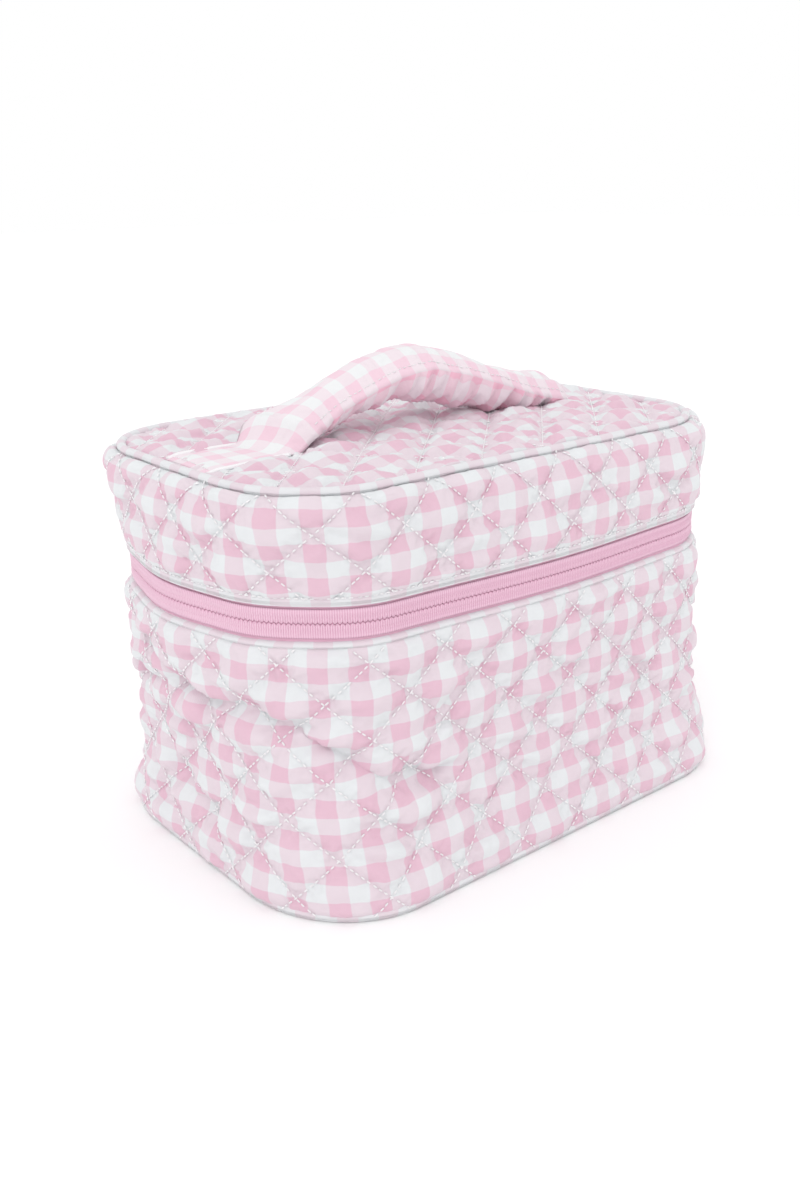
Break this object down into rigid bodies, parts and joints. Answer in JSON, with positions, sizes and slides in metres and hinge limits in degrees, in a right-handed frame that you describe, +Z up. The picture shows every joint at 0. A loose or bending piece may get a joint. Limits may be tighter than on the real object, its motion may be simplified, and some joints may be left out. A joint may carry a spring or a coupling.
{
  "type": "makeup bag",
  "caption": "Soft rounded box bag with a hinged zip lid, quilted padded walls and a padded carrying strap on top, for cosmetics.",
  "frame": {"origin": "middle of the underside, on the surface that the bag stands on", "axes": "+X along the bag's width and its handle, -Y towards the front, +Y towards the lid's hinge, +Z up"},
  "size_m": [0.2373, 0.1696, 0.184],
  "materials": {
    "gingham": "pink and white woven check cotton, matt",
    "batting": "white polyester wadding, matt",
    "lining": "plain white cotton lining, matt",
    "binding": "check cotton binding, matt",
    "zipper_tape": "woven pink zipper tape, slight sheen",
    "zipper_coil": "pink nylon, satin",
    "slider": "pink enamel, satin",
    "ring": "bright nickel"
  },
  "bodies": {
    "base": {"base_wall_outer": "gingham", "base_wall_batting": "batting", "base_wall_lining": "lining", "base_floor_outer": "gingham", "base_floor_padding": "batting", "base_floor_lining": "lining", "bottom_piping": "gingham", "base_seam_binding": "binding", "base_rim_binding": "binding", "lower_zipper_tape": "zipper_tape", "lower_zipper_coil": "zipper_coil", "zipper_lower_stop": "zipper_coil", "zipper_bottom_stop": "zipper_coil", "hinge_strip": "gingham"},
    "lid": {"lid_top_outer": "gingham", "lid_top_batting": "batting", "lid_top_lining": "lining", "lid_band_outer": "gingham", "lid_band_batting": "batting", "lid_band_lining": "lining", "lid_rim_hem": "binding", "top_piping": "gingham", "lid_seam_binding": "binding", "upper_zipper_tape": "zipper_tape", "upper_zipper_coil": "zipper_coil", "zipper_upper_stop": "zipper_coil", "handle_tab_left": "gingham", "handle_tab_right": "gingham"},
    "handle": {"handle_cover": "gingham", "handle_filling": "batting"},
    "zip_slider": {"slider_body": "slider", "slider_bridge": "slider"},
    "zip_pull": {"pull_ring": "ring", "pull_tab": "gingham"}
  },
  "joints": [
    {"name": "lid_hinge", "type": "hinge", "parent": "base", "child": "lid", "pos_m": [0, 0.0742, 0.107], "axis": [-1, 0, 0], "range_deg": [0, 120], "deforming": ["hinge_strip"]},
    {"name": "handle_tilt", "type": "hinge", "parent": "lid", "child": "handle", "pos_m": [-0.005, 0, 0.152], "axis": [1, 0, 0], "range_deg": [-25, 25], "stiffness_Nm_per_rad": 0.05},
    {"name": "slider_travel", "type": "slide", "parent": "base", "child": "zip_slider", "axis": [0, -1, 0], "range_m": [0, 0.046]},
    {"name": "pull_swing", "type": "hinge", "parent": "zip_slider", "child": "zip_pull", "pos_m": [0.1174, 0.022, 0.107], "axis": [0, -1, 0], "range_deg": [0, 160]}
  ]
}
